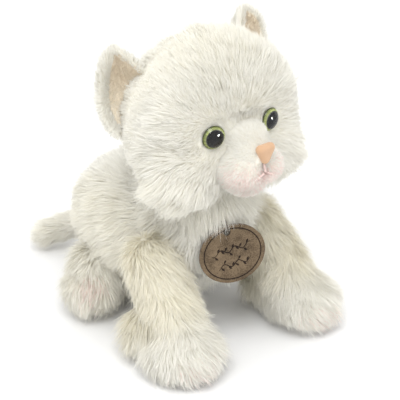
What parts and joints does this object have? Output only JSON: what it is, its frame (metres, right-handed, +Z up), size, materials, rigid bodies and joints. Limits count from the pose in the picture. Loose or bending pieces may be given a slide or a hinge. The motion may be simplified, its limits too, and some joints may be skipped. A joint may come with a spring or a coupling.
{
  "type": "plush cat",
  "caption": "Soft toy cat lying with raised chest: sewn long-pile covers over fibre stuffing, pellet-weighted feet, safety eyes, oval tag.",
  "frame": {"origin": "middle of the flat seat under the belly, on the surface the cat rests on", "axes": "+X to the cat's left, +Y to its tail so that it faces -Y, +Z up"},
  "size_m": [0.1544, 0.2321, 0.217],
  "materials": {
    "long_pile": "long white faux fur, soft sheen",
    "short_pile": "short white plush",
    "ear_lining": "short beige plush with a pink tint",
    "fibre_fill": "white polyester fibre",
    "pellet_bag": "woven bag of plastic pellets",
    "nose_flock": "matt peach flocked vinyl",
    "mouth_thread": "pink embroidery thread",
    "eye_clear": "clear gloss acrylic",
    "eye_iris": "green printed foil",
    "eye_pupil": "black gloss plastic",
    "washer": "white polyethylene",
    "tag_suede": "brown suede cloth",
    "tag_felt": "brown felt backing",
    "tag_thread": "dark brown sewing thread"
  },
  "bodies": {
    "torso": {"torso_cover": "long_pile", "torso_stuffing": "fibre_fill", "belly_pellet_bag": "pellet_bag", "tag_thread": "tag_thread"},
    "neck": {"neck_cover": "long_pile", "neck_stuffing": "fibre_fill"},
    "head": {"head_cover": "long_pile", "head_stuffing": "fibre_fill", "muzzle_cover": "short_pile", "muzzle_stuffing": "fibre_fill", "nose": "nose_flock", "nose_washer": "washer", "mouth_stitch": "mouth_thread", "eye_left_dome": "eye_clear", "eye_left_iris": "eye_iris", "eye_left_pupil": "eye_pupil", "eye_left_washer": "washer", "eye_right_dome": "eye_clear", "eye_right_iris": "eye_iris", "eye_right_pupil": "eye_pupil", "eye_right_washer": "washer"},
    "ear_left": {"ear_left_outer": "long_pile", "ear_left_lining": "ear_lining"},
    "front_leg_left": {"front_leg_left_cover": "long_pile", "front_leg_left_stuffing": "fibre_fill", "front_paw_left_pellets": "pellet_bag"},
    "hind_leg_left": {"hind_leg_left_cover": "long_pile", "hind_leg_left_stuffing": "fibre_fill", "hind_foot_left_pellets": "pellet_bag"},
    "ear_right": {"ear_right_outer": "long_pile", "ear_right_lining": "ear_lining"},
    "front_leg_right": {"front_leg_right_cover": "long_pile", "front_leg_right_stuffing": "fibre_fill", "front_paw_right_pellets": "pellet_bag"},
    "hind_leg_right": {"hind_leg_right_cover": "long_pile", "hind_leg_right_stuffing": "fibre_fill", "hind_foot_right_pellets": "pellet_bag"},
    "tail": {"tail_cover": "long_pile", "tail_stuffing": "fibre_fill"},
    "tag": {"tag_face": "tag_suede", "tag_backing": "tag_felt"}
  },
  "joints": [
    {"name": "head_turn", "type": "hinge", "parent": "torso", "child": "neck", "pos_m": [0, -0.06, 0.1], "axis": [0, 0, 1], "range_deg": [-25, 25], "stiffness_Nm_per_rad": 1.2},
    {"name": "head_nod", "type": "hinge", "parent": "neck", "child": "head", "pos_m": [0, -0.06, 0.1], "axis": [1, 0, 0], "range_deg": [-14, 10], "stiffness_Nm_per_rad": 1.2},
    {"name": "ear_left_fold", "type": "hinge", "parent": "head", "child": "ear_left", "pos_m": [0.052, -0.052, 0.1785], "axis": [0.4358, 0.109, -0.8934], "range_deg": [-5, 20], "stiffness_Nm_per_rad": 0.04},
    {"name": "ear_right_fold", "type": "hinge", "parent": "head", "child": "ear_right", "pos_m": [-0.052, -0.052, 0.1785], "axis": [0.4358, -0.109, 0.8934], "range_deg": [-5, 20], "stiffness_Nm_per_rad": 0.04},
    {"name": "front_leg_left_lift", "type": "hinge", "parent": "torso", "child": "front_leg_left", "pos_m": [0.05, -0.064, 0.068], "axis": [-1, 0, 0], "range_deg": [0, 35], "stiffness_Nm_per_rad": 0.35},
    {"name": "front_leg_right_lift", "type": "hinge", "parent": "torso", "child": "front_leg_right", "pos_m": [-0.05, -0.064, 0.068], "axis": [-1, 0, 0], "range_deg": [0, 35], "stiffness_Nm_per_rad": 0.35},
    {"name": "hind_leg_left_swing", "type": "hinge", "parent": "torso", "child": "hind_leg_left", "pos_m": [0.042, 0.002, 0.027], "axis": [0, 0, 1], "range_deg": [0, 30], "stiffness_Nm_per_rad": 0.3},
    {"name": "hind_leg_right_swing", "type": "hinge", "parent": "torso", "child": "hind_leg_right", "pos_m": [-0.042, 0.002, 0.027], "axis": [0, 0, -1], "range_deg": [0, 30], "stiffness_Nm_per_rad": 0.3},
    {"name": "tail_swing", "type": "hinge", "parent": "torso", "child": "tail", "pos_m": [0, 0.06, 0.024], "axis": [0, 0, 1], "range_deg": [-30, 15], "stiffness_Nm_per_rad": 0.08},
    {"name": "tag_swing", "type": "hinge", "parent": "torso", "child": "tag", "pos_m": [-0.00471, -0.09399, 0.08698], "axis": [-0.936, 0.2985, -0.1866], "range_deg": [0, 30]}
  ]
}
